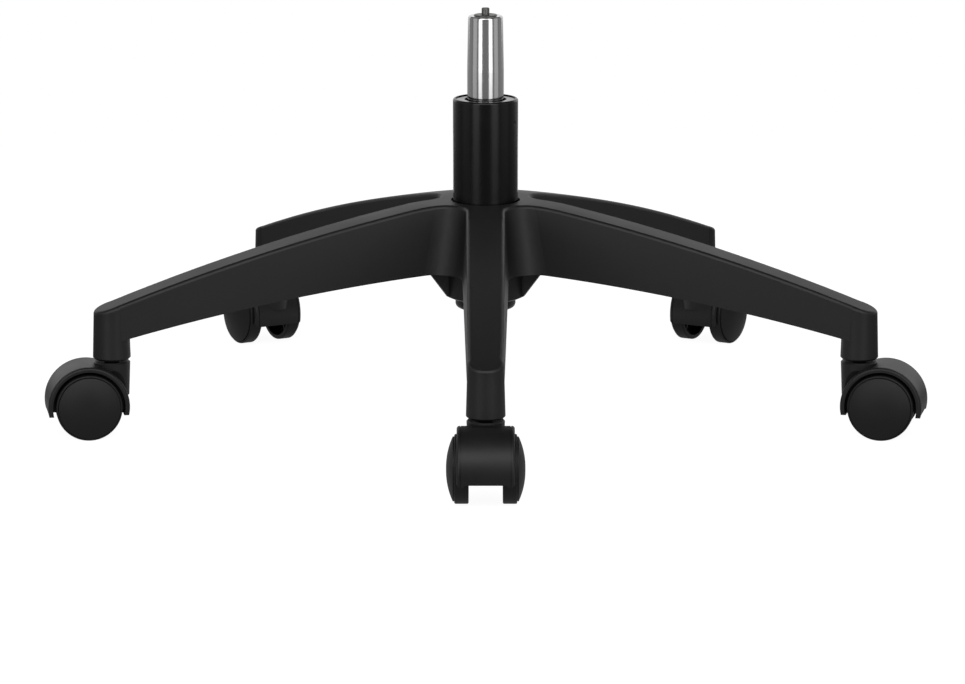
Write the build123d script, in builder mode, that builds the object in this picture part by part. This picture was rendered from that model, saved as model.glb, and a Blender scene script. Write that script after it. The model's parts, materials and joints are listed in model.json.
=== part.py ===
from build123d import *
import os
from math import atan2, cos, degrees, radians, sin

# An office chair base: a moulded five-leg star, a gas lift column and five hooded
# twin-wheel casters. Millimetres, +Z up. The origin is on the floor, under the column
# axis, and the front leg points towards -Y.

# Star base: heights are above the floor, radii are from the column axis
LEG_COUNT = 5
FRONT_LEG_ANGLE = -90
LEG_PITCH = 360 / LEG_COUNT
STEM_CIRCLE_R = 297
HUB_TOP_Z = 163.9
HUB_EDGE_R = 48.4
HUB_BLEND_R = 150
LEG_TOP_MID = (184.3, 133.8)
LEG_TOP_TIP = (313.5, 94)
SKIRT_Z = 111
SKIRT_EDGE_R = 51
LEG_UNDER_MID = (158.6, 98.9)
LEG_UNDER_TIP = (307, 70.4)
LEG_TOP_EDGE_R = 2.6

# Leg half widths, at the root radius and at the stem circle, on two levels that the
# drafted side walls run between
ROOT_R = 60
LOW_Z = 50
LOW_ROOT_HALF = 21.3
LOW_STEM_HALF = 13.5
LOW_WEB_R = 29
HIGH_Z = 170
HIGH_ROOT_HALF = 14.1
HIGH_STEM_HALF = 11.1
HIGH_WEB_R = 17

# Stem sockets at the leg tips
SOCKET_Z = 58.4
SOCKET_R = 14.3
SOCKET_TOP_R = 13.1
SOCKET_CHAMFER = 1.4
SOCKET_TOP_Z = 102
SOCKET_BORE_R = 5.6
SOCKET_BORE_TOP_Z = 83

# Open underside
WALL = 3.6
ROOF = 4.2
POCKET_START_R = 36
POCKET_END_R = 278
RIB_T = 2.6
RIB_COUNT = 6
RIB_INSET = 3
BOSS_R = 30
BOSS_Z = 89.2
BOSS_NOSE_R = 24
BOSS_NOSE_Z = 86.5
GUSSET_T = 4.5
GUSSET_R = 47
GUSSET_Z = 111
GUSSET_ROOT = 2
GUSSET_TOE = (31, 89.7)
RECESS_R = 26.6
RECESS_DEPTH = 3.2

# Column tube, with the taper that seats it in the hub
TUBE_R = 25
TUBE_WALL = 2
TUBE_TOP_Z = 242.8
TUBE_TAPER_TOP_Z = 161.2
TUBE_END_R = 23.2
TUBE_END_Z = 79.5
TUBE_END_ROUND = 4
TUBE_FLOOR = 3
TUBE_FLOOR_HOLE_R = 4.6
TUBE_RIM_ROUND = 1.6
TUBE_BORE_ROUND = 0.3
DIMPLE_R = 2.6
DIMPLE_DEPTH = 0.8
DIMPLE_Z = 225.4
DIMPLE_ANGLES = (-26, 154)

# Guide bush inside the tube
BUSH_BOTTOM_Z = 170
BUSH_SEAT_GAP = 0.05
BUSH_COLLAR_H = 9
BUSH_FOOT_H = 6
BUSH_SLEEVE_R = 17.4
BUSH_LIP_R = 21.4
BUSH_SINK = 0.8
BUSH_FUNNEL_R = 17.2
BUSH_FUNNEL_DEPTH = 4.2
BUSH_RIB_COUNT = 8
BUSH_RIB_T = 2.2
BUSH_RIB_INSET = 0.8

# Gas cylinder, piston rod and release valve
RUN_GAP = 0.06
CYLINDER_R = 14
CYLINDER_BORE_R = 12
CYLINDER_BOTTOM_Z = 105.5
CYLINDER_LIP_R = 7
CYLINDER_LIP_T = 1.5
CYLINDER_CHAMBER_TOP_Z = 250
SEAT_TAPER_Z = 264.5
SEAT_TAPER_TOP_Z = 306.5
SEAT_TAPER_TOP_R = 13.3
VALVE_R = 8.95
VALVE_RISE = 0.8
VALVE_BORE_Z = 280
PIN_R = 3
PIN_BOTTOM_Z = 284.5
PIN_TOP_Z = 312.5
PIN_ROUND = 0.75
ROD_R = 5
ROD_END_R = 4
ROD_TOP_Z = 214
PISTON_T = 10
PISTON_GAP = 0.08
ROD_GUIDE_T = 12
ROD_SEAL_T = 3.6

# Foot of the rod, from below: clip and washer under the tube's floor, then lower race,
# balls in a cage, upper race, the rod's shoulder and the bump stop
STACK_GAP = 0.1
CLIP_T = 1.1
CLIP_R = 7
CLIP_GROOVE_R = 3.2
CLIP_SLOT = 5
CLIP_OVERHANG = 1.4
WASHER_T = 1.2
WASHER_R = 9
WASHER_Z = TUBE_END_Z - STACK_GAP - WASHER_T
CLIP_Z = WASHER_Z - CLIP_T
ROD_BOTTOM_Z = CLIP_Z - CLIP_OVERHANG
RACE_T = 1.5
RACE_R = 12.5
RACE_HOLE_R = 4.3
LOWER_RACE_Z = TUBE_END_Z + TUBE_FLOOR
BALL_R = 1.9
BALL_GAP = 0.2
BALL_COUNT = 9
BALL_CIRCLE_R = 8.7
BALL_Z = LOWER_RACE_Z + RACE_T + BALL_GAP + BALL_R
CAGE_T = 1.5
CAGE_R = 12
CAGE_HOLE_R = 5.3
UPPER_RACE_Z = BALL_Z + BALL_R + BALL_GAP
ROD_SHOULDER_Z = UPPER_RACE_Z + RACE_T
BUMP_STOP_T = 14
BUMP_STOP_R = 10.5
BUMP_STOP_ROUND = 3

# Casters: x is the trail direction from the stem axis, z the height above the floor
CASTERS = (
    ("front", 270, 270),
    ("front_left", 198, 189),
    ("rear_left", 126, 120),
    ("rear_right", 54, 60),
    ("front_right", 342, 348),
)
TRAIL = 19.2
WHEEL_R = 25
HOOD_R = 30.8
HOOD_INNER_R = 27.3
HOOD_HALF_WIDTH = 20.8
HOOD_EDGE_Z = 17.9
HOOD_EDGE_ROUND = 2
HOOD_CORNER_R = 3
HOOD_LINE_Y = 17.7
HOOD_LINE_W = 0.6
HOOD_LINE_DEPTH = 0.5
HOOD_NOTCH_HALF = 16.2
HOOD_NOTCH_SLOPE = 1.6
HOOD_NOTCH_Z = 19.7
WEB_HALF = 8
HOUSING_R = 13.9
HOUSING_FOOT_R = 12.9
HOUSING_Z = 31
HOUSING_COLLAR_Z = 52
HOUSING_FLANK = (9.8, 41)
NECK_TOP_Z = 56.8
NECK_CHAMFER = 1
AXLE_R = 3
AXLE_HALF = 21.5
AXLE_CHAMFER = 0.5
AXLE_BOSS_R = 6.5
AXLE_BOSS_HALF = 11
STEM_R = 5.5
STEM_BOTTOM_Z = 30.5
STEM_TOP_Z = 81.5
STEM_CHAMFER = 1
STEM_WELL_DEPTH = 1
GRIP_Z = 73
GRIP_H = 3.4
GRIP_GROOVE_R = 4.6
GRIP_SLOT = 1.6

# Wheel profile: radii, and distances from the caster's middle plane
WHEEL_INNER = 12.2
WHEEL_SHOULDER = 22.5
WHEEL_TREAD_ROUND = 1.1
WHEEL_GROOVE_R = 23.2
WHEEL_GROOVE_W = 0.5
WHEEL_GROOVE = 21.6
WHEEL_DOME_EDGE = 23.6
WHEEL_DOME_MID = (11.6, 27.4)
WHEEL_OUTER = 28.4
WHEEL_RIM_INNER_R = 21.6
WHEEL_CUP_EDGE = 19.4
WHEEL_CUP_MID = (14, 23)
WHEEL_CUP_FLOOR = 25
WHEEL_HUB_R = 6
WHEEL_HUB_INNER = 11.4
WHEEL_HUB_END = 24
WHEEL_SPOKES = 6
WHEEL_SPOKE_T = 1.6
WHEEL_SPOKE_INNER = 16
WHEEL_SPOKE_SINK = 1

# Half section through the front leg, where the seams of the revolved faces do no harm
FRONT_SECTION = Plane(origin=(0, 0, 0), x_dir=(0, -1, 0), z_dir=(-1, 0, 0))

os.makedirs("parts", exist_ok=True)


def write(piece, name):
    """Label a finished piece and write it to its own STEP file."""
    piece.label = name
    export_step(piece, f"parts/{name}.step")


def leg_angles():
    """Directions of the legs, counted from the front leg."""
    return [FRONT_LEG_ANGLE + LEG_PITCH * i for i in range(LEG_COUNT)]


def star_outline(root_half, stem_half, web_r):
    """Draw the plan of the five legs, with a round web of radius web_r between each two."""
    taper = atan2(root_half - stem_half, STEM_CIRCLE_R - ROOT_R)
    normal = Vector(sin(taper), cos(taper))
    side_distance = ROOT_R * normal.X + root_half * normal.Y
    half_pitch = radians(LEG_PITCH / 2)
    web_centre_r = (web_r + side_distance) / sin(half_pitch + taper)
    web_centre = Vector(web_centre_r * cos(half_pitch), web_centre_r * sin(half_pitch))
    side_start = web_centre - normal * web_r
    web_middle = web_centre - web_centre.normalized() * web_r
    for angle in leg_angles():
        start_right = Vector(side_start.X, -side_start.Y).rotate(Axis.Z, angle)
        end_right = Vector(STEM_CIRCLE_R, -stem_half).rotate(Axis.Z, angle)
        end_left = Vector(STEM_CIRCLE_R, stem_half).rotate(Axis.Z, angle)
        start_left = side_start.rotate(Axis.Z, angle)
        next_right = Vector(side_start.X, -side_start.Y).rotate(Axis.Z, angle + LEG_PITCH)
        Line(start_right, end_right)
        Line(end_right, end_left)
        Line(end_left, start_left)
        ThreePointArc(start_left, web_middle.rotate(Axis.Z, angle), next_right)


def leg_side_half(level_z, r):
    """Half width of a leg at a radius, on one level of the drafted walls."""
    rise = (level_z - LOW_Z) / (HIGH_Z - LOW_Z)
    root = LOW_ROOT_HALF + (HIGH_ROOT_HALF - LOW_ROOT_HALF) * rise
    stem = LOW_STEM_HALF + (HIGH_STEM_HALF - LOW_STEM_HALF) * rise
    return root + (stem - root) * (r - ROOT_R) / (STEM_CIRCLE_R - ROOT_R)


def side_profile(top_drop, bottom_z, under_lift):
    """Draw the side view of a leg and the hub, to be revolved about the column axis.

    The top is a flat hub that turns into one long arc. The underside is the same
    again, or a flat line at bottom_z where the profile is only a limit on the top.
    """
    hub = (0, HUB_TOP_Z - top_drop)
    hub_edge = (HUB_EDGE_R, HUB_TOP_Z - top_drop)
    top_mid = (LEG_TOP_MID[0], LEG_TOP_MID[1] - top_drop)
    top_tip = (LEG_TOP_TIP[0], LEG_TOP_TIP[1] - top_drop)
    Line(hub, hub_edge)
    ThreePointArc(hub_edge, top_mid, top_tip)
    if bottom_z is None:
        under_tip = (LEG_UNDER_TIP[0], LEG_UNDER_TIP[1] + under_lift)
        under_mid = (LEG_UNDER_MID[0], LEG_UNDER_MID[1] + under_lift)
        skirt_edge = (SKIRT_EDGE_R, SKIRT_Z + under_lift)
        Line(top_tip, under_tip)
        ThreePointArc(under_tip, under_mid, skirt_edge)
        Line(skirt_edge, (0, SKIRT_Z + under_lift))
        Line((0, SKIRT_Z + under_lift), hub)
    else:
        Line(top_tip, (top_tip[0], bottom_z))
        Line((top_tip[0], bottom_z), (0, bottom_z))
        Line((0, bottom_z), hub)


def revolved_envelope(top_drop, bottom_z=None, under_lift=0):
    """Revolve the side profile, with the hub's edge blended into the leg's arc."""
    with BuildPart() as envelope:
        with BuildSketch(FRONT_SECTION) as profile:
            with BuildLine():
                side_profile(top_drop, bottom_z, under_lift)
            make_face()
            hub_corner = profile.vertices().sort_by_distance((HUB_EDGE_R, HUB_TOP_Z - top_drop))[0]
            fillet(hub_corner, radius=HUB_BLEND_R)
        revolve(axis=Axis.Z)
    return envelope.part


def top_rim(part):
    """Edges where the upward faces meet the standing walls."""
    upward = part.faces().filter_by(lambda face: face.normal_at().Z > 0.7)
    standing = part.faces().filter_by(lambda face: abs(face.normal_at().Z) < 0.3)
    return upward.edges() & standing.edges()


# Star base: outer form of hub and legs
with BuildPart() as legs:
    with BuildSketch(Plane.XY.offset(LOW_Z)):
        with BuildLine():
            star_outline(LOW_ROOT_HALF, LOW_STEM_HALF, LOW_WEB_R)
        make_face()
    with BuildSketch(Plane.XY.offset(HIGH_Z)):
        with BuildLine():
            star_outline(HIGH_ROOT_HALF, HIGH_STEM_HALF, HIGH_WEB_R)
        make_face()
    loft(ruled=True)
    add(revolved_envelope(0), mode=Mode.INTERSECT)
    fillet(top_rim(legs), radius=LEG_TOP_EDGE_R)

# One stem socket, a drafted post whose top follows the leg's arc
with BuildPart() as socket:
    with BuildSketch(Plane.XZ):
        Polygon(
            (STEM_CIRCLE_R, SOCKET_Z),
            (STEM_CIRCLE_R + SOCKET_R - SOCKET_CHAMFER, SOCKET_Z),
            (STEM_CIRCLE_R + SOCKET_R, SOCKET_Z + SOCKET_CHAMFER),
            (STEM_CIRCLE_R + SOCKET_TOP_R, SOCKET_TOP_Z),
            (STEM_CIRCLE_R, SOCKET_TOP_Z),
            align=None,
        )
    revolve(axis=Axis((STEM_CIRCLE_R, 0, 0), (0, 0, 1)))
    add(revolved_envelope(0, bottom_z=0), mode=Mode.INTERSECT)
    fillet(top_rim(socket), radius=LEG_TOP_EDGE_R)

# One leg's hollow underside, with its zigzag ribs left standing
with BuildPart() as ribs:
    with BuildSketch(Plane.XY.offset(SOCKET_Z)) as rib_plan:
        with BuildLine() as rib_line:
            step = (POCKET_END_R - POCKET_START_R) / RIB_COUNT
            corner_radii = [POCKET_START_R + step * i for i in range(RIB_COUNT + 1)]
            corners = [
                (corner_r, (-1) ** i * leg_side_half(LOW_Z, corner_r))
                for i, corner_r in enumerate(corner_radii)
            ]
            Polyline(*corners)
        for rib in rib_line.edges():
            middle = rib @ 0.5
            turn = degrees(atan2((rib % 0.5).Y, (rib % 0.5).X))
            with Locations(Location((middle.X, middle.Y, 0), (0, 0, turn))):
                Rectangle(rib.length, RIB_T)
    extrude(amount=HIGH_Z - SOCKET_Z)
    add(revolved_envelope(0, under_lift=RIB_INSET), mode=Mode.INTERSECT)

with BuildPart() as pocket:
    for level in (LOW_Z, HIGH_Z):
        start_half = leg_side_half(level, POCKET_START_R) - WALL
        end_half = leg_side_half(level, POCKET_END_R) - WALL
        with BuildSketch(Plane.XY.offset(level)):
            Polygon(
                (POCKET_START_R, -start_half),
                (POCKET_END_R, -end_half),
                (POCKET_END_R, end_half),
                (POCKET_START_R, start_half),
                align=None,
            )
    loft(ruled=True)
    add(revolved_envelope(ROOF, bottom_z=0), mode=Mode.INTERSECT)
    add(ribs.part, mode=Mode.SUBTRACT)

# Hub boss with the nose round the tube's end, and one gusset for each leg
with BuildPart() as boss:
    with BuildSketch(Plane.XZ):
        with BuildLine():
            Polyline(
                (0, BOSS_NOSE_Z),
                (BOSS_NOSE_R, BOSS_NOSE_Z),
                (BOSS_R, BOSS_Z),
                (BOSS_R, HUB_TOP_Z - ROOF),
                (0, HUB_TOP_Z - ROOF),
                close=True,
            )
        make_face()
    revolve(axis=Axis.Z)

with BuildPart() as gusset:
    with BuildSketch(Plane.XZ):
        Polygon(
            (BOSS_R - GUSSET_ROOT, GUSSET_TOE[1]),
            GUSSET_TOE,
            (GUSSET_R, GUSSET_Z),
            (GUSSET_R, GUSSET_Z + ROOF),
            (BOSS_R - GUSSET_ROOT, GUSSET_Z + ROOF),
            align=None,
        )
    extrude(amount=GUSSET_T / 2, both=True)

# Taper of the column tube, from its end to where it becomes straight, and the recess
# round it in the hub's top
with BuildPart() as hub_bore:
    with BuildSketch(Plane.XZ):
        Polygon(
            (0, TUBE_END_Z),
            (TUBE_END_R, TUBE_END_Z),
            (TUBE_R, TUBE_TAPER_TOP_Z),
            (0, TUBE_TAPER_TOP_Z),
            align=None,
        )
    revolve(axis=Axis.Z)
    with BuildSketch(Plane.XY.offset(HUB_TOP_Z - RECESS_DEPTH)):
        Circle(RECESS_R)
    extrude(amount=HIGH_Z - HUB_TOP_Z + RECESS_DEPTH)

with BuildPart() as star_base:
    add(legs.part)
    for angle in leg_angles():
        with Locations(Location((0, 0, 0), (0, 0, angle))):
            add(pocket.part, mode=Mode.SUBTRACT)
            add(socket.part)
            add(gusset.part)
    add(boss.part)
    add(hub_bore.part, mode=Mode.SUBTRACT)
    for angle in leg_angles():
        stem_x = STEM_CIRCLE_R * cos(radians(angle))
        stem_y = STEM_CIRCLE_R * sin(radians(angle))
        with Locations((stem_x, stem_y, LOW_Z)):
            Cylinder(
                SOCKET_BORE_R,
                SOCKET_BORE_TOP_Z - LOW_Z,
                align=(Align.CENTER, Align.CENTER, Align.MIN),
                mode=Mode.SUBTRACT,
            )
write(star_base.part, "star_base")


def ring(inner_r, outer_r, bottom_z, top_z):
    """Add a plain ring, or a disc, about the column axis to the part being built."""
    standing = (Align.CENTER, Align.CENTER, Align.MIN)
    with Locations((0, 0, bottom_z)):
        Cylinder(outer_r, top_z - bottom_z, align=standing)
        if inner_r > 0:
            Cylinder(inner_r, top_z - bottom_z, align=standing, mode=Mode.SUBTRACT)


# Column tube: straight above, tapered in the hub, with a rolled end and a floor
with BuildPart() as outer_tube:
    with BuildSketch(Plane.XZ) as tube_profile:
        with BuildLine():
            Polyline(
                (TUBE_FLOOR_HOLE_R, TUBE_END_Z),
                (TUBE_END_R, TUBE_END_Z),
                (TUBE_R, TUBE_TAPER_TOP_Z),
                (TUBE_R, TUBE_TOP_Z),
                (TUBE_R - TUBE_WALL, TUBE_TOP_Z),
                (TUBE_R - TUBE_WALL, TUBE_TAPER_TOP_Z),
                (TUBE_END_R - TUBE_WALL, TUBE_END_Z + TUBE_FLOOR),
                (TUBE_FLOOR_HOLE_R, TUBE_END_Z + TUBE_FLOOR),
                close=True,
            )
        make_face()
        end_corner = tube_profile.vertices().sort_by_distance((TUBE_END_R, TUBE_END_Z))[0]
        fillet(end_corner, radius=TUBE_END_ROUND)
        rim_corners = tube_profile.vertices().group_by(Axis.Y)[-1].sort_by(Axis.X)
        fillet(rim_corners[-1], radius=TUBE_RIM_ROUND)
        fillet(rim_corners[0], radius=TUBE_BORE_ROUND)
    revolve(axis=Axis.Z)
    for angle in DIMPLE_ANGLES:
        dimple_x = (TUBE_R + DIMPLE_R - DIMPLE_DEPTH) * cos(radians(angle))
        dimple_y = (TUBE_R + DIMPLE_R - DIMPLE_DEPTH) * sin(radians(angle))
        with Locations((dimple_x, dimple_y, DIMPLE_Z)):
            Sphere(DIMPLE_R, mode=Mode.SUBTRACT)
write(outer_tube.part, "outer_tube")

# Guide bush: a ribbed sleeve with a collar and a foot, and a funnel round the cylinder
BUSH_R = TUBE_R - TUBE_WALL - BUSH_SEAT_GAP
BUSH_BORE_R = CYLINDER_R + RUN_GAP
with BuildPart() as guide_bush:
    with BuildSketch(Plane.XZ):
        with BuildLine():
            Polyline(
                (BUSH_BORE_R, BUSH_BOTTOM_Z),
                (BUSH_R, BUSH_BOTTOM_Z),
                (BUSH_R, BUSH_BOTTOM_Z + BUSH_FOOT_H),
                (BUSH_SLEEVE_R, BUSH_BOTTOM_Z + BUSH_FOOT_H),
                (BUSH_SLEEVE_R, TUBE_TOP_Z - BUSH_COLLAR_H),
                (BUSH_R, TUBE_TOP_Z - BUSH_COLLAR_H),
                (BUSH_R, TUBE_TOP_Z - BUSH_SINK),
                (BUSH_LIP_R, TUBE_TOP_Z - BUSH_SINK),
                (BUSH_FUNNEL_R, TUBE_TOP_Z - BUSH_FUNNEL_DEPTH),
                (BUSH_BORE_R, TUBE_TOP_Z - BUSH_FUNNEL_DEPTH),
                close=True,
            )
        make_face()
    revolve(axis=Axis.Z)
    with BuildSketch(Plane.XY.offset(BUSH_BOTTOM_Z)):
        with PolarLocations((BUSH_SLEEVE_R + BUSH_R) / 2 - BUSH_RIB_INSET, BUSH_RIB_COUNT):
            Rectangle(BUSH_R - BUSH_SLEEVE_R, BUSH_RIB_T)
    extrude(amount=TUBE_TOP_Z - BUSH_COLLAR_H - BUSH_BOTTOM_Z)
write(guide_bush.part, "guide_bush")

# Gas cylinder: straight chromed tube with the seat taper on top
with BuildPart() as gas_cylinder:
    with BuildSketch(Plane.XZ) as cylinder_profile:
        with BuildLine():
            Polyline(
                (CYLINDER_LIP_R, CYLINDER_BOTTOM_Z),
                (CYLINDER_R, CYLINDER_BOTTOM_Z),
                (CYLINDER_R, SEAT_TAPER_Z),
                (SEAT_TAPER_TOP_R, SEAT_TAPER_TOP_Z),
                (VALVE_R, SEAT_TAPER_TOP_Z),
                (VALVE_R, CYLINDER_CHAMBER_TOP_Z),
                (CYLINDER_BORE_R, CYLINDER_CHAMBER_TOP_Z),
                (CYLINDER_BORE_R, CYLINDER_BOTTOM_Z + CYLINDER_LIP_T),
                (CYLINDER_LIP_R, CYLINDER_BOTTOM_Z + CYLINDER_LIP_T),
                close=True,
            )
        make_face()
        foot = cylinder_profile.vertices().sort_by_distance((CYLINDER_R, CYLINDER_BOTTOM_Z))[0]
        head = cylinder_profile.vertices().sort_by_distance((SEAT_TAPER_TOP_R, SEAT_TAPER_TOP_Z))[0]
        fillet([foot, head], radius=CYLINDER_LIP_T)
    revolve(axis=Axis.Z)
write(gas_cylinder.part, "gas_cylinder")

with BuildPart() as valve_body:
    ring(0, VALVE_R, CYLINDER_CHAMBER_TOP_Z, SEAT_TAPER_TOP_Z + VALVE_RISE)
    chamfer(valve_body.faces().sort_by(Axis.Z)[-1].edges(), length=VALVE_RISE / 2)
    with BuildSketch(Plane.XY.offset(VALVE_BORE_Z)):
        Circle(PIN_R + RUN_GAP)
    extrude(amount=PIN_TOP_Z - VALVE_BORE_Z, mode=Mode.SUBTRACT)
write(valve_body.part, "valve_body")

with BuildPart() as release_pin:
    ring(0, PIN_R, PIN_BOTTOM_Z, PIN_TOP_Z)
    fillet(release_pin.faces().sort_by(Axis.Z)[-1].edges(), radius=PIN_ROUND)
write(release_pin.part, "release_pin")

GUIDE_Z = CYLINDER_BOTTOM_Z + CYLINDER_LIP_T
with BuildPart() as rod_guide:
    ring(ROD_R + RUN_GAP, CYLINDER_BORE_R - BUSH_SEAT_GAP, GUIDE_Z, GUIDE_Z + ROD_GUIDE_T)
write(rod_guide.part, "rod_guide")

SEAL_Z = GUIDE_Z + ROD_GUIDE_T
with BuildPart() as rod_seal:
    ring(ROD_R + RUN_GAP, CYLINDER_BORE_R - BUSH_SEAT_GAP, SEAL_Z, SEAL_Z + ROD_SEAL_T)
write(rod_seal.part, "rod_seal")

# Piston rod, standing on the upper race and held below the tube's floor by the clip
with BuildPart() as piston_rod:
    ring(0, ROD_END_R, ROD_BOTTOM_Z, ROD_SHOULDER_Z)
    ring(0, ROD_R, ROD_SHOULDER_Z, ROD_TOP_Z)
    with BuildSketch(Plane.XY.offset(CLIP_Z)):
        Circle(ROD_R)
        Circle(CLIP_GROOVE_R, mode=Mode.SUBTRACT)
    extrude(amount=CLIP_T, mode=Mode.SUBTRACT)
    chamfer(piston_rod.faces().sort_by(Axis.Z)[0].edges(), length=ROD_R - ROD_END_R)
write(piston_rod.part, "piston_rod")

with BuildPart() as piston:
    ring(ROD_R, CYLINDER_BORE_R - PISTON_GAP, ROD_TOP_Z - PISTON_T, ROD_TOP_Z)
write(piston.part, "piston")

with BuildPart() as retaining_clip:
    ring(CLIP_GROOVE_R, CLIP_R, CLIP_Z, CLIP_Z + CLIP_T)
    with BuildSketch(Plane.XY.offset(CLIP_Z)):
        with Locations((CLIP_R, 0)):
            Rectangle(2 * CLIP_R, CLIP_SLOT)
    extrude(amount=CLIP_T, mode=Mode.SUBTRACT)
write(retaining_clip.part, "retaining_clip")

with BuildPart() as end_washer:
    ring(ROD_END_R, WASHER_R, WASHER_Z, WASHER_Z + WASHER_T)
write(end_washer.part, "end_washer")

# Thrust bearing at the foot of the rod
with BuildPart() as lower_race:
    ring(RACE_HOLE_R, RACE_R, LOWER_RACE_Z, LOWER_RACE_Z + RACE_T)
write(lower_race.part, "lower_race")

with BuildPart() as upper_race:
    ring(ROD_END_R, RACE_R, UPPER_RACE_Z, UPPER_RACE_Z + RACE_T)
write(upper_race.part, "upper_race")

with BuildPart() as bearing_balls:
    with Locations((0, 0, BALL_Z)):
        with PolarLocations(BALL_CIRCLE_R, BALL_COUNT):
            Sphere(BALL_R)
write(bearing_balls.part, "bearing_balls")

with BuildPart() as bearing_cage:
    ring(CAGE_HOLE_R, CAGE_R, BALL_Z - CAGE_T / 2, BALL_Z + CAGE_T / 2)
    with BuildSketch(Plane.XY.offset(BALL_Z - CAGE_T / 2)):
        with PolarLocations(BALL_CIRCLE_R, BALL_COUNT):
            Circle(BALL_R + RUN_GAP)
    extrude(amount=CAGE_T, mode=Mode.SUBTRACT)
write(bearing_cage.part, "bearing_cage")

with BuildPart() as bump_stop:
    ring(ROD_R, BUMP_STOP_R, ROD_SHOULDER_Z, ROD_SHOULDER_Z + BUMP_STOP_T)
    top_edges = bump_stop.faces().sort_by(Axis.Z)[-1].edges()
    fillet(top_edges.sort_by(SortBy.LENGTH)[-1], radius=BUMP_STOP_ROUND)
write(bump_stop.part, "bump_stop")

# Stem housing of a caster hood: drafted, round on top, and narrowing sideways to the web
with BuildPart() as housing:
    with BuildSketch(Plane.XZ):
        Polygon(
            (0, HOUSING_Z),
            (HOUSING_FOOT_R, HOUSING_Z),
            (HOUSING_R, NECK_TOP_Z),
            (0, NECK_TOP_Z),
            align=None,
        )
    revolve(axis=Axis.Z)
    chamfer(housing.faces().sort_by(Axis.Z)[-1].edges(), length=NECK_CHAMFER)
    with BuildSketch(Plane.YZ):
        with BuildLine():
            Polyline(
                (WEB_HALF, HOUSING_Z),
                (0, HOUSING_Z),
                (0, NECK_TOP_Z),
                (HOUSING_R, NECK_TOP_Z),
                (HOUSING_R, HOUSING_COLLAR_Z),
            )
            ThreePointArc((HOUSING_R, HOUSING_COLLAR_Z), HOUSING_FLANK, (WEB_HALF, HOUSING_Z))
        make_face()
        mirror(about=Plane.YZ)
    extrude(amount=HOUSING_R, both=True, mode=Mode.INTERSECT)

# Caster hood: mudguard, web and stem housing are one moulding, open below
AXLE_LINE = Axis((TRAIL, 0, WHEEL_R), (0, 1, 0))
with BuildPart() as hood:
    with BuildSketch(Plane.XZ):
        with Locations((TRAIL, WHEEL_R)):
            Circle(HOOD_R)
    extrude(amount=HOOD_HALF_WIDTH, both=True)
    fillet(hood.edges().filter_by(GeomType.CIRCLE), radius=HOOD_EDGE_ROUND)
    with BuildSketch(Plane.XZ.offset(HOOD_LINE_Y), Plane.XZ.offset(-HOOD_LINE_Y - HOOD_LINE_W)):
        with Locations((TRAIL, WHEEL_R)):
            Circle(HOOD_R + HOOD_LINE_DEPTH)
            Circle(HOOD_R - HOOD_LINE_DEPTH, mode=Mode.SUBTRACT)
    extrude(amount=HOOD_LINE_W, mode=Mode.SUBTRACT)
    add(housing.part)
    with BuildSketch(Plane.XZ.offset(WEB_HALF), Plane.XZ.offset(-WEB_HALF - HOOD_HALF_WIDTH)):
        with Locations((TRAIL, WHEEL_R)):
            Circle(HOOD_INNER_R)
    extrude(amount=HOOD_HALF_WIDTH, mode=Mode.SUBTRACT)
    with BuildSketch(Plane.YZ.offset(TRAIL)) as hood_front_view:
        with Locations((0, HOOD_EDGE_Z)):
            Rectangle(2 * HOOD_HALF_WIDTH, 2 * HOOD_R, align=(Align.CENTER, Align.MIN))
        fillet(hood_front_view.vertices().group_by(Axis.Y)[0], radius=HOOD_CORNER_R)
    extrude(amount=2 * HOOD_R, both=True, mode=Mode.INTERSECT)
    with BuildSketch(Plane.YZ.offset(TRAIL)):
        Polygon(
            (-HOOD_NOTCH_HALF, HOOD_EDGE_Z),
            (HOOD_NOTCH_HALF, HOOD_EDGE_Z),
            (HOOD_NOTCH_HALF - HOOD_NOTCH_SLOPE, HOOD_NOTCH_Z),
            (HOOD_NOTCH_SLOPE - HOOD_NOTCH_HALF, HOOD_NOTCH_Z),
            align=None,
        )
    extrude(amount=2 * HOOD_R, mode=Mode.SUBTRACT)
    with BuildSketch(Plane.XZ):
        with Locations((TRAIL, WHEEL_R)):
            Circle(AXLE_BOSS_R)
    extrude(amount=AXLE_BOSS_HALF, both=True)
    with BuildSketch(Plane.XZ):
        with Locations((TRAIL, WHEEL_R)):
            Circle(AXLE_R)
    extrude(amount=AXLE_BOSS_HALF, both=True, mode=Mode.SUBTRACT)
    with BuildSketch(Plane.XY.offset(STEM_BOTTOM_Z - STEM_WELL_DEPTH)):
        Circle(STEM_R + RUN_GAP)
    extrude(amount=NECK_TOP_Z - STEM_BOTTOM_Z + STEM_WELL_DEPTH, mode=Mode.SUBTRACT)

with BuildPart() as axle:
    with BuildSketch(Plane.XZ):
        with Locations((TRAIL, WHEEL_R)):
            Circle(AXLE_R)
    extrude(amount=AXLE_HALF, both=True)
    chamfer(axle.edges().filter_by(GeomType.CIRCLE), length=AXLE_CHAMFER)

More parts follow.
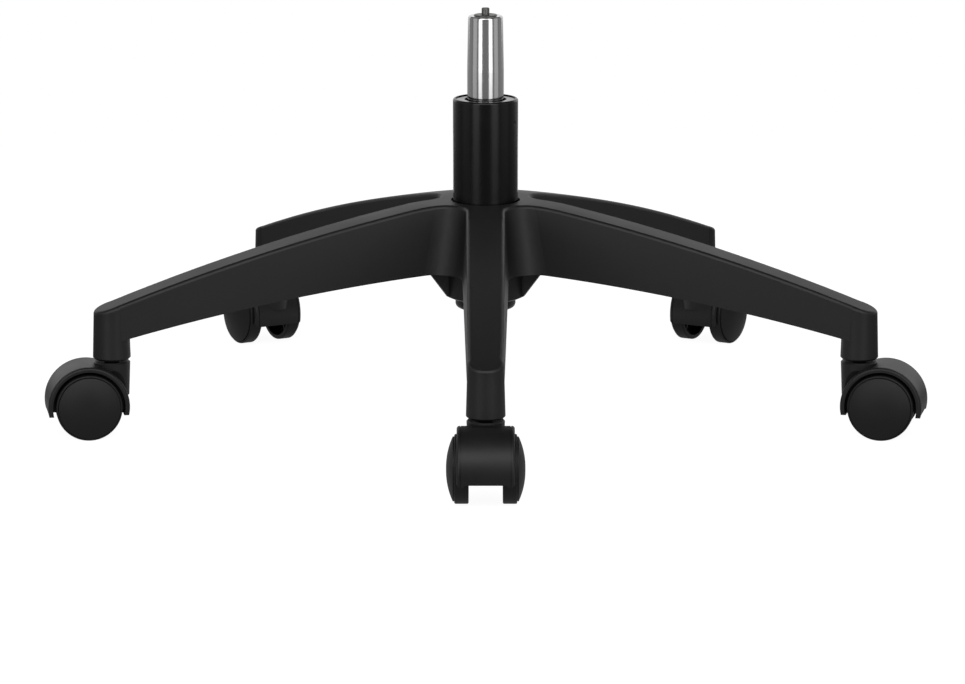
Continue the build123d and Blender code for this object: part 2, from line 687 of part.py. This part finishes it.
# Caster wheel: tread, domed face, open cup on the inside with a hub and spokes
WHEEL_PLANE = Plane(origin=(TRAIL, 0, WHEEL_R), x_dir=(0, 0, 1), z_dir=(1, 0, 0))
with BuildPart() as wheel:
    with BuildSketch(WHEEL_PLANE) as wheel_profile:
        with BuildLine():
            Line((0, WHEEL_HUB_END), (0, WHEEL_OUTER))
            ThreePointArc((0, WHEEL_OUTER), WHEEL_DOME_MID, (WHEEL_GROOVE_R, WHEEL_DOME_EDGE))
            Polyline(
                (WHEEL_GROOVE_R, WHEEL_DOME_EDGE),
                (WHEEL_GROOVE_R, WHEEL_GROOVE),
                (WHEEL_GROOVE_R + WHEEL_GROOVE_W, WHEEL_GROOVE),
                (WHEEL_GROOVE_R + WHEEL_GROOVE_W, WHEEL_SHOULDER),
                (WHEEL_R, WHEEL_SHOULDER),
                (WHEEL_R, WHEEL_INNER),
                (WHEEL_RIM_INNER_R, WHEEL_INNER),
                (WHEEL_RIM_INNER_R, WHEEL_CUP_EDGE),
            )
            cup_edge = (WHEEL_RIM_INNER_R, WHEEL_CUP_EDGE)
            ThreePointArc(cup_edge, WHEEL_CUP_MID, (WHEEL_HUB_R, WHEEL_CUP_FLOOR))
            Polyline(
                (WHEEL_HUB_R, WHEEL_CUP_FLOOR),
                (WHEEL_HUB_R, WHEEL_HUB_INNER),
                (AXLE_R + RUN_GAP, WHEEL_HUB_INNER),
                (AXLE_R + RUN_GAP, WHEEL_HUB_END),
                (0, WHEEL_HUB_END),
            )
        make_face()
        tread_corners = wheel_profile.vertices().group_by(Axis.X)[-1]
        fillet(tread_corners, radius=WHEEL_TREAD_ROUND)
    revolve(axis=AXLE_LINE)
    with BuildSketch(Plane.XZ.offset(WHEEL_SPOKE_INNER)):
        with Locations((TRAIL, WHEEL_R)):
            with PolarLocations((WHEEL_HUB_R + WHEEL_RIM_INNER_R) / 2, WHEEL_SPOKES):
                Rectangle(WHEEL_RIM_INNER_R - WHEEL_HUB_R + WHEEL_SPOKE_SINK, WHEEL_SPOKE_T)
    extrude(amount=WHEEL_CUP_EDGE + WHEEL_SPOKE_SINK - WHEEL_SPOKE_INNER)

# Caster stem with its spring grip ring
with BuildPart() as stem:
    ring(0, STEM_R, STEM_BOTTOM_Z, STEM_TOP_Z)
    chamfer(stem.edges().filter_by(GeomType.CIRCLE), length=STEM_CHAMFER)
    with BuildSketch(Plane.XY.offset(GRIP_Z)):
        Circle(STEM_R)
        Circle(GRIP_GROOVE_R, mode=Mode.SUBTRACT)
    extrude(amount=GRIP_H, mode=Mode.SUBTRACT)

with BuildPart() as grip_ring:
    ring(GRIP_GROOVE_R, SOCKET_BORE_R, GRIP_Z, GRIP_Z + GRIP_H)
    with BuildSketch(Plane.XY.offset(GRIP_Z)):
        with Locations((SOCKET_BORE_R, 0)):
            Rectangle(2 * SOCKET_BORE_R, GRIP_SLOT)
    extrude(amount=GRIP_H, mode=Mode.SUBTRACT)

# The five casters, each at its leg's tip and turned to its own trail direction
for corner, leg_angle, trail_angle in CASTERS:
    stem_x = STEM_CIRCLE_R * cos(radians(leg_angle))
    stem_y = STEM_CIRCLE_R * sin(radians(leg_angle))
    place = Location((stem_x, stem_y, 0), (0, 0, trail_angle))
    mirrored_wheel = mirror(wheel.part, about=Plane.XZ)
    pieces = {
        "stem": stem.part,
        "grip_ring": grip_ring.part,
        "hood": hood.part,
        "axle": axle.part,
        "wheel_right": wheel.part,
        "wheel_left": mirrored_wheel,
    }
    for piece_name, piece in pieces.items():
        with BuildPart() as placed:
            with Locations(place):
                add(piece)
        write(placed.part, f"{corner}_caster_{piece_name}")
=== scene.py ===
import json
from math import cos, pi, radians, sin

import bpy
import numpy as np
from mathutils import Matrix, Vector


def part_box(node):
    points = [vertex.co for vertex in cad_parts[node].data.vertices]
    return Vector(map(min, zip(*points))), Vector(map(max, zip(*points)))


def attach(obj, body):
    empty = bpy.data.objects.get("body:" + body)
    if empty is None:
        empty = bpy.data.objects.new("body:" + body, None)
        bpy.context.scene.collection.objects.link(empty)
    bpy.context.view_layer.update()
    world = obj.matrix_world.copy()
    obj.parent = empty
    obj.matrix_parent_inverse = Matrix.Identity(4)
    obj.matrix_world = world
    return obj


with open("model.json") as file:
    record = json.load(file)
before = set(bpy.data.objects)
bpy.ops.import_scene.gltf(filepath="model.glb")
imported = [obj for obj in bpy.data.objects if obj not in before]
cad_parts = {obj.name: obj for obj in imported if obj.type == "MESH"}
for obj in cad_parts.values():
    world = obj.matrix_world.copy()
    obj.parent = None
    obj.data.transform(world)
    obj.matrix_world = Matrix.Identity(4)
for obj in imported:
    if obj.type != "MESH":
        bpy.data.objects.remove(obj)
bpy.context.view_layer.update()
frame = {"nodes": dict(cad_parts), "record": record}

# An office chair base: the finishes of its pieces, a plain white studio and the camera.
# Metres, +Z up, the origin on the floor under the column axis.

nodes = frame["nodes"]
MM = 0.001

# Camera, fitted to the photo: its place, pitch and focal length
IMAGE_WIDTH = 965
SENSOR_WIDTH = 36
CAMERA_PLACE = (-0.0023, -3.9, 0.8629)
CAMERA_PITCH = 11.748
FOCAL_PIXELS = 5148.9

# Studio: lamps and flags stand round the column axis, azimuth 0 is towards the camera.
# Each lamp has azimuth, distance, width, bottom, top, tilt to the floor and radiance.
LAMPS = {
    "strip_left": (-33, 1.5, 0.61, 0.0, 2.2, 0, 1.58),
    "strip_right": (33, 1.5, 0.62, 0.0, 2.2, 0, 1.58),
    "side_left": (-72, 1.5, 0.8, -0.3, 1.8, 0, 0.28),
    "side_right": (72, 1.5, 0.8, -0.3, 1.8, 0, 0.28),
    "high_box": (0, 1.6, 1.5, 0.9, 1.7, 43, 2.3),
}
WORLD_FILL = 0.25

# Watts of an area lamp for each square metre and unit of radiance
POWER_PER_RADIANCE = 4

# Each flag has its two azimuths, radius and height of its lower and of its upper edge, and
# its grey.
FLAG_STEPS = 24
WALL = 2.2
CENTRE = 0.01
FLOOR_NEAR = 0.42
FLOOR_RADIUS = 1.3
PIT_Z = -0.7
SHEET_Z = 0.001
BACKDROP_TOP_Z = 1.5
CEILING_Z = 2.4
FLAGS = {
    "flag_front": ((-100, 100), (WALL, PIT_Z), (WALL, CEILING_Z), 0.25),
    "flag_side_left": ((-128, -100), (WALL, PIT_Z), (WALL, CEILING_Z), 0.3),
    "flag_side_right": ((100, 128), (WALL, PIT_Z), (WALL, CEILING_Z), 0.3),
    "flag_low": ((128, 232), (WALL, PIT_Z), (WALL, 0.0), 0.33),
    "flag_high": ((128, 232), (WALL, BACKDROP_TOP_Z), (WALL, CEILING_Z), 0.03),
    "flag_ceiling": ((0, 360), (WALL, CEILING_Z), (CENTRE, CEILING_Z), 0.03),
    "flag_floor_near": ((-155, 155), (CENTRE, SHEET_Z), (FLOOR_NEAR, SHEET_Z), 0.38),
    "flag_floor": ((-155, 155), (FLOOR_NEAR, SHEET_Z), (FLOOR_RADIUS, SHEET_Z), 0.12),
}

# Floor sheet
FLOOR_RINGS = 24
FLOOR_SPOKES = 96
FLOOR_GLOW = 0.95
FLOOR_ALBEDO = 0.2

# Powder coat of the tube: width and depth of its orange peel, width of its haze
PEEL_MM = 2.5
PEEL_DEPTH_UM = 5
HAZE_MM = 18

# Flat face of the guide bush, in millimetres: its gaps to the cylinder and the bush's rim,
# and how far it stands over the bush
FACE_CYLINDER_GAP = 2.0
FACE_RIM_GAP = 0.05
FACE_OVER_BUSH = 0.05
FACE_THICKNESS = 3.2
FACE_ROUND = 0.25
FACE_CORNER_STEPS = 4
FACE_SPOKES = 160

# The part of a noise texture's range that its values fill
NOISE_LOW = 0.3
NOISE_HIGH = 0.7

# Sockets of the Mix node: its two values, its two colours and the mixed colour that comes out
VALUE_A = 2
VALUE_B = 3
COLOUR_A = 6
COLOUR_B = 7
MIXED_COLOUR = 2


def linear_colour(text):
    """Turn an sRGB hex value into the linear colour that the shaders use."""
    channels = np.array([int(text[i:i + 2], 16) for i in (0, 2, 4)]) / 255
    low = channels / 12.92
    high = ((channels + 0.055) / 1.055) ** 2.4
    return (*np.where(channels <= 0.04045, low, high), 1.0)


def add_node(tree, kind, inputs=None, **settings):
    """Add one shader node with its settings. An input is a value, or the socket that feeds it."""
    made = tree.nodes.new(kind)
    for name, value in settings.items():
        setattr(made, name, value)
    for socket, value in (inputs or {}).items():
        if isinstance(value, bpy.types.NodeSocket):
            tree.links.new(value, made.inputs[socket])
        else:
            made.inputs[socket].default_value = value
    return made


def start_material(name):
    """Make an empty material. Returns it with its node tree and the object's coordinates."""
    material = bpy.data.materials.new(name)
    material.use_nodes = True
    tree = material.node_tree
    tree.nodes.clear()
    place = add_node(tree, "ShaderNodeTexCoord").outputs["Object"]
    return material, tree, place


def finish_material(tree, **inputs):
    """Close a material with one surface shader. Names are its sockets, with _ for a space."""
    sockets = {name.replace("_", " "): value for name, value in inputs.items()}
    shader = add_node(tree, "ShaderNodeBsdfPrincipled", sockets)
    add_node(tree, "ShaderNodeOutputMaterial", {"Surface": shader.outputs["BSDF"]})


def moulded(name, dark, light, roughness, specular, grain_mm, grain_depth_um, drift_mm):
    """Moulded plastic or rubber.

    The tone drifts between two close shades over drift_mm, where the melt cooled unevenly,
    and the roughness drifts with it. The mould leaves a fine grain, which bumps the surface,
    so that highlights break up into satin instead of a mirror line. The real grain of such
    a mould is about 0.4 mm wide, and grain_mm is coarser, so that it shows in the render.
    """
    material, tree, place = start_material(name)
    drift = add_node(
        tree, "ShaderNodeTexNoise",
        {"Vector": place, "Scale": 1 / (drift_mm * MM), "Detail": 3.0, "Roughness": 0.55},
    ).outputs["Fac"]
    tone = add_node(
        tree, "ShaderNodeMix",
        {"Factor": drift, COLOUR_A: linear_colour(dark), COLOUR_B: linear_colour(light)},
        data_type="RGBA",
    ).outputs[MIXED_COLOUR]
    satin = add_node(
        tree, "ShaderNodeMapRange",
        {"Value": drift, "From Min": NOISE_LOW, "From Max": NOISE_HIGH,
         "To Min": roughness - 0.03, "To Max": roughness + 0.03},
    ).outputs["Result"]
    grain = add_node(
        tree, "ShaderNodeTexNoise",
        {"Vector": place, "Scale": 1 / (grain_mm * MM), "Detail": 2.0, "Roughness": 0.6},
    ).outputs["Fac"]
    bump = add_node(
        tree, "ShaderNodeBump",
        {"Height": grain, "Strength": 1.0, "Distance": grain_depth_um * MM * MM},
    ).outputs["Normal"]
    finish_material(
        tree, Base_Color=tone, Roughness=satin, Normal=bump,
        IOR=1.53, Specular_IOR_Level=specular,
    )
    return material


def star_nylon():
    """Glass-filled nylon 6, moulded in an eroded tool: satin black, faintly mottled."""
    return moulded(
        "glass_filled_nylon_moulded", dark="101010", light="161616",
        roughness=0.49, specular=0.38,
        grain_mm=0.9, grain_depth_um=18, drift_mm=70,
    )


def hood_nylon():
    """Nylon 6 hood moulding: the same black, a little smoother than the base."""
    return moulded(
        "nylon_hood_moulded", dark="131313", light="181818",
        roughness=0.45, specular=0.31,
        grain_mm=0.8, grain_depth_um=14, drift_mm=30,
    )


def wheel_nylon():
    """Hard nylon wheel: moulded smoother than the hood, with an even face."""
    return moulded(
        "nylon_wheel_moulded", dark="111111", light="161616",
        roughness=0.52, specular=0.27,
        grain_mm=0.7, grain_depth_um=12, drift_mm=25,
    )


def acetal_black():
    """Black acetal guide bush: slippery moulded plastic with a soft gloss."""
    return moulded(
        "acetal_bush_moulded", dark="141414", light="1a1a1a",
        roughness=0.16, specular=0.5,
        grain_mm=0.6, grain_depth_um=3, drift_mm=12,
    )


def acetal_face():
    """Top face of the guide bush: moulded against a polished plate, so it mirrors the backdrop."""
    return moulded(
        "acetal_bush_face_moulded", dark="141414", light="1a1a1a",
        roughness=0.14, specular=0.38,
        grain_mm=0.6, grain_depth_um=1, drift_mm=12,
    )


def guide_plastic():
    """Grey filled acetal of the rod guide: dull and even."""
    return moulded(
        "filled_acetal_turned", dark="4a4a48", light="575755",
        roughness=0.5, specular=0.4,
        grain_mm=0.5, grain_depth_um=8, drift_mm=10,
    )


def nitrile_rubber():
    """Moulded nitrile rubber of the seal and the bump stop: matt, with a dusty bloom."""
    return moulded(
        "nitrile_rubber_moulded", dark="1b1b1c", light="282829",
        roughness=0.72, specular=0.3,
        grain_mm=0.6, grain_depth_um=20, drift_mm=8,
    )


def powder_coated_tube():
    """Steel tube in semi-gloss black powder coat.

    The cured powder flows out into a shallow orange peel, about 2.5 mm wide, that unsettles
    the two long highlights a little, and its gloss drifts over some 18 mm.
    """
    material, tree, place = start_material("steel_powder_coated_black")
    peel = add_node(
        tree, "ShaderNodeTexNoise",
        {"Vector": place, "Scale": 1 / (PEEL_MM * MM), "Detail": 1.0, "Roughness": 0.4},
    ).outputs["Fac"]
    haze = add_node(
        tree, "ShaderNodeTexNoise",
        {"Vector": place, "Scale": 1 / (HAZE_MM * MM), "Detail": 4.0, "Roughness": 0.6},
    ).outputs["Fac"]
    tone = add_node(
        tree, "ShaderNodeMix",
        {"Factor": haze, COLOUR_A: linear_colour("030303"), COLOUR_B: linear_colour("060606")},
        data_type="RGBA",
    ).outputs[MIXED_COLOUR]
    gloss = add_node(
        tree, "ShaderNodeMapRange",
        {"Value": haze, "From Min": NOISE_LOW, "From Max": NOISE_HIGH,
         "To Min": 0.21, "To Max": 0.25},
    ).outputs["Result"]
    bump = add_node(
        tree, "ShaderNodeBump",
        {"Height": peel, "Strength": 1.0, "Distance": PEEL_DEPTH_UM * MM * MM},
    ).outputs["Normal"]
    finish_material(
        tree, Base_Color=tone, Roughness=gloss, Normal=bump,
        IOR=1.5, Specular_IOR_Level=0.34,
    )
    return material


def metal(name, dark, light, roughness, spread, axis_scale, grain_mm, grain_depth_um):
    """A bare metal with the marks of how it was machined.

    The noise is drawn out along each axis whose scale is below 1, so it turns into fine
    lines round a ground or turned piece, and into a nearly even frost on a plated one.
    """
    material, tree, place = start_material(name)
    lines = add_node(tree, "ShaderNodeMapping", {"Vector": place, "Scale": axis_scale})
    marks = add_node(
        tree, "ShaderNodeTexNoise",
        {"Vector": lines.outputs["Vector"], "Scale": 1 / (grain_mm * MM),
         "Detail": 3.0, "Roughness": 0.6},
    ).outputs["Fac"]
    tone = add_node(
        tree, "ShaderNodeMix",
        {"Factor": marks, COLOUR_A: linear_colour(dark), COLOUR_B: linear_colour(light)},
        data_type="RGBA",
    ).outputs[MIXED_COLOUR]
    polish = add_node(
        tree, "ShaderNodeMapRange",
        {"Value": marks, "From Min": NOISE_LOW, "From Max": NOISE_HIGH,
         "To Min": roughness - spread, "To Max": roughness + spread},
    ).outputs["Result"]
    bump = add_node(
        tree, "ShaderNodeBump",
        {"Height": marks, "Strength": 1.0, "Distance": grain_depth_um * MM * MM},
    ).outputs["Normal"]
    finish_material(tree, Base_Color=tone, Metallic=1.0, Roughness=polish, Normal=bump)
    return material


def hard_chrome():
    """Hard chrome on ground steel: a bright mirror with very faint grinding lines round it."""
    return metal(
        "steel_hard_chrome_ground", dark="bfbfbf", light="c6c6c6",
        roughness=0.14, spread=0.01, axis_scale=(0.04, 0.04, 1),
        grain_mm=0.8, grain_depth_um=0.03,
    )


def phosphated_steel():
    """Valve body and pin: black phosphate over turned steel, dull and faintly ringed."""
    return metal(
        "steel_phosphated_turned", dark="6a6a68", light="7c7c79",
        roughness=0.42, spread=0.06, axis_scale=(0.2, 0.2, 1),
        grain_mm=0.7, grain_depth_um=1,
    )


def ground_rod():
    """Piston rod, races, balls and clip: bright ground bar steel."""
    return metal(
        "bar_steel_ground", dark="a9a9a8", light="bcbcba",
        roughness=0.2, spread=0.04, axis_scale=(0.1, 0.1, 1),
        grain_mm=0.6, grain_depth_um=0.5,
    )


def turned_aluminium():
    """Piston: turned aluminium, bright, with a fine plain grain on its faces."""
    return metal(
        "aluminium_turned", dark="c4c4c6", light="d6d6d8",
        roughness=0.3, spread=0.05, axis_scale=(1, 1, 0.1),
        grain_mm=0.8, grain_depth_um=1,
    )


def zinc_steel_dark_as_painted_shade():
    """Caster stems, grip rings and axles: zinc-plated steel, dull; its near-black colour is
    painted shade for the dark gap under the leg sockets.
    """
    # The near-black tone is painted shade for the gap under the leg sockets.
    return metal(
        "steel_zinc_plated_painted_shade", dark="2a2a2b", light="363637",
        roughness=0.45, spread=0.06, axis_scale=(0.3, 0.3, 1),
        grain_mm=0.8, grain_depth_um=1,
    )


FINISHES = {
    "star_base_nylon": star_nylon,
    "column_tube_paint": powder_coated_tube,
    "guide_bush_acetal": acetal_black,
    "gas_cylinder_chrome": hard_chrome,
    "valve_steel": phosphated_steel,
    "rod_guide_plastic": guide_plastic,
    "seal_rubber": nitrile_rubber,
    "rod_steel": ground_rod,
    "piston_aluminium": turned_aluminium,
    "caster_steel": zinc_steel_dark_as_painted_shade,
    "caster_hood_nylon": hood_nylon,
    "caster_wheel_nylon": wheel_nylon,
}


def dress_nodes():
    """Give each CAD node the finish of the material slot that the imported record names."""
    made = {slot: finish() for slot, finish in FINISHES.items()}
    for row in frame["record"]["subparts"]:
        piece = nodes[row["node"]]
        piece.data.materials.clear()
        piece.data.materials.append(made[row["material_slot"]])


def bush_face():
    """The flat top face of the guide bush: a lathed ring, level just under the tube's rim.

    Its profile is a rectangle with rounded corners. Every point of it turns once round the
    column axis: radius times the cosine and the sine of the turn.
    """
    bush_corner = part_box("guide_bush")[1] / MM
    cylinder_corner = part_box("gas_cylinder")[1] / MM
    inner_r = cylinder_corner.x + FACE_CYLINDER_GAP
    outer_r = bush_corner.x - FACE_RIM_GAP
    top_z = bush_corner.z + FACE_OVER_BUSH
    corners = [(inner_r, 1), (outer_r, 1), (outer_r, 0), (inner_r, 0)]
    inward = [(1, -1), (-1, -1), (-1, 1), (1, 1)]
    starts = [180, 90, 0, -90]
    bend = np.linspace(0, -90, FACE_CORNER_STEPS + 1)
    profile = []
    for (radius, upper), (aside, down), start in zip(corners, inward, starts):
        angles = np.radians(start + bend)
        centre_r = radius + aside * FACE_ROUND
        centre_z = top_z - (1 - upper) * FACE_THICKNESS + down * FACE_ROUND
        profile.append(np.stack([
            centre_r + FACE_ROUND * np.cos(angles), centre_z + FACE_ROUND * np.sin(angles),
        ], axis=-1))
    profile = np.vstack(profile) * MM
    turns = np.linspace(0, 2 * pi, FACE_SPOKES, endpoint=False)[:, None]
    ring = np.stack([
        profile[:, 0] * np.cos(turns), profile[:, 0] * np.sin(turns), profile[:, 1] + 0 * turns,
    ], axis=-1)
    rows, columns = ring.shape[:2]
    row, column = np.meshgrid(np.arange(rows), np.arange(columns), indexing="ij")
    after_row, after_column = (row + 1) % rows, (column + 1) % columns
    faces = np.stack([
        row * columns + column, row * columns + after_column,
        after_row * columns + after_column, after_row * columns + column,
    ], axis=-1).reshape(-1, 4)
    mesh = bpy.data.meshes.new("guide_bush_face")
    mesh.from_pydata(ring.reshape(-1, 3).tolist(), [], faces.tolist())
    mesh.shade_smooth()
    mesh.materials.append(acetal_face())
    piece = bpy.data.objects.new("guide_bush_face", mesh)
    bpy.context.scene.collection.objects.link(piece)
    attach(piece, "root")


def studio_lamps():
    """Hang the softboxes of LAMPS, facing the column axis and unseen by the camera.

    Two strips make the twin highlights of the column, side boxes fill, and a high box lights
    what faces up.
    """
    for name, (azimuth, distance, width, bottom, top, tilt, radiance) in LAMPS.items():
        data = bpy.data.lights.new(name, "AREA")
        data.shape = "RECTANGLE"
        data.size = width
        data.size_y = top - bottom
        data.energy = POWER_PER_RADIANCE * radiance * width * (top - bottom)
        holder = bpy.data.objects.new(name, data)
        bpy.context.scene.collection.objects.link(holder)
        turn = radians(azimuth)
        holder.location = (distance * sin(turn), -distance * cos(turn), (bottom + top) / 2)
        holder.rotation_euler = (radians(90 - tilt), 0, turn)
        holder.visible_camera = False


def seen_rays(tree):
    """One for the rays that are to see the white background: camera, glossy and transmission."""
    ray = add_node(tree, "ShaderNodeLightPath").outputs
    direct = add_node(
        tree, "ShaderNodeMath",
        {0: ray["Is Camera Ray"], 1: ray["Is Transmission Ray"]},
        operation="MAXIMUM",
    ).outputs["Value"]
    return add_node(
        tree, "ShaderNodeMath", {0: direct, 1: ray["Is Glossy Ray"]}, operation="MAXIMUM"
    ).outputs["Value"]


def white_world():
    """White behind the object, also in its reflections, and a dim even fill for its light."""
    world = bpy.data.worlds.new("white_studio")
    bpy.context.scene.world = world
    world.use_nodes = True
    tree = world.node_tree
    tree.nodes.clear()
    strength = add_node(
        tree, "ShaderNodeMix", {"Factor": seen_rays(tree), VALUE_A: WORLD_FILL, VALUE_B: 1.0}
    ).outputs["Result"]
    light = add_node(tree, "ShaderNodeBackground", {"Strength": strength, "Color": (1, 1, 1, 1)})
    add_node(tree, "ShaderNodeOutputWorld", {"Surface": light.outputs["Background"]})


def studio_flags():
    """Stand the grey flags of FLAGS, which keep white out of the photo's dark reflections.

    A flag is a ruled band between two arcs round the column axis, and only reflections see
    it. The chrome and the tube mirror a grey room behind the camera and at its sides. The
    white backdrop stands behind, up to 1.5 m: it lights the tops of the side legs, and above
    it all is dark, as the top of the front leg shows. The floor mirrors as a dull grey, and
    lighter near the casters.
    """
    for name, (azimuths, low_edge, high_edge, grey) in FLAGS.items():
        turns = np.radians(np.linspace(*azimuths, FLAG_STEPS + 1))
        edges = [
            np.stack([radius * np.sin(turns), -radius * np.cos(turns), 0 * turns + z], axis=-1)
            for radius, z in (low_edge, high_edge)
        ]
        low = np.arange(FLAG_STEPS)
        high = low + FLAG_STEPS + 1
        faces = np.stack([low, low + 1, high + 1, high], axis=1)
        mesh = bpy.data.meshes.new(name)
        mesh.from_pydata(np.vstack(edges).tolist(), [], faces.tolist())
        material, tree, _ = start_material(name)
        paint = add_node(tree, "ShaderNodeEmission", {"Strength": grey})
        add_node(tree, "ShaderNodeOutputMaterial", {"Surface": paint.outputs["Emission"]})
        mesh.materials.append(material)
        card = bpy.data.objects.new(name, mesh)
        bpy.context.scene.collection.objects.link(card)
        card.visible_camera = False
        card.visible_diffuse = False
        card.visible_shadow = False


def floor_material():
    """White studio sheet that glows to white where it is seen, less the object's shadow."""
    material, tree, _ = start_material("studio_sheet_white")
    sheet = add_node(tree, "ShaderNodeBsdfDiffuse", {"Color": (FLOOR_ALBEDO,) * 3 + (1,)})
    glow = add_node(
        tree, "ShaderNodeMath", {0: seen_rays(tree), 1: FLOOR_GLOW}, operation="MULTIPLY"
    ).outputs["Value"]
    shine = add_node(tree, "ShaderNodeEmission", {"Strength": glow})
    both = add_node(
        tree, "ShaderNodeAddShader",
        {0: sheet.outputs["BSDF"], 1: shine.outputs["Emission"]},
    )
    add_node(tree, "ShaderNodeOutputMaterial", {"Surface": both.outputs["Shader"]})
    return material


def floor_disc():
    """Round floor sheet: a grid of rings and spokes, radius times the cosine and the sine."""
    radii = np.linspace(0, FLOOR_RADIUS, FLOOR_RINGS + 1)[1:]
    turns = np.linspace(0, 2 * pi, FLOOR_SPOKES, endpoint=False)
    ring, turn = np.meshgrid(radii, turns, indexing="ij")
    rim = np.stack([ring * np.cos(turn), ring * np.sin(turn), 0 * ring], axis=-1)
    points = np.vstack([np.zeros((1, 3)), rim.reshape(-1, 3)])
    here = np.arange(FLOOR_SPOKES)
    after = (here + 1) % FLOOR_SPOKES
    middle = np.stack([0 * here, 1 + here, 1 + after], axis=-1)
    low = 1 + np.arange(FLOOR_RINGS - 1)[:, None] * FLOOR_SPOKES
    high = low + FLOOR_SPOKES
    bands = np.stack([low + here, high + here, high + after, low + after], axis=-1)
    mesh = bpy.data.meshes.new("studio_floor")
    mesh.from_pydata(points.tolist(), [], middle.tolist() + bands.reshape(-1, 4).tolist())
    floor = bpy.data.objects.new("studio_floor", mesh)
    bpy.context.scene.collection.objects.link(floor)
    mesh.materials.append(floor_material())


def photo_camera():
    """Camera at the photo's place, looking along +Y and tipped down by the pitch."""
    data = bpy.data.cameras.new("photo_camera")
    data.sensor_width = SENSOR_WIDTH
    data.lens = FOCAL_PIXELS * SENSOR_WIDTH / IMAGE_WIDTH
    camera = bpy.data.objects.new("photo_camera", data)
    bpy.context.scene.collection.objects.link(camera)
    camera.location = CAMERA_PLACE
    camera.rotation_euler = (radians(90 - CAMERA_PITCH), 0, 0)
    bpy.context.scene.camera = camera


photo_camera()
dress_nodes()
bush_face()
studio_lamps()
studio_flags()
white_world()
floor_disc()
bpy.context.scene.view_settings.view_transform = "Standard"
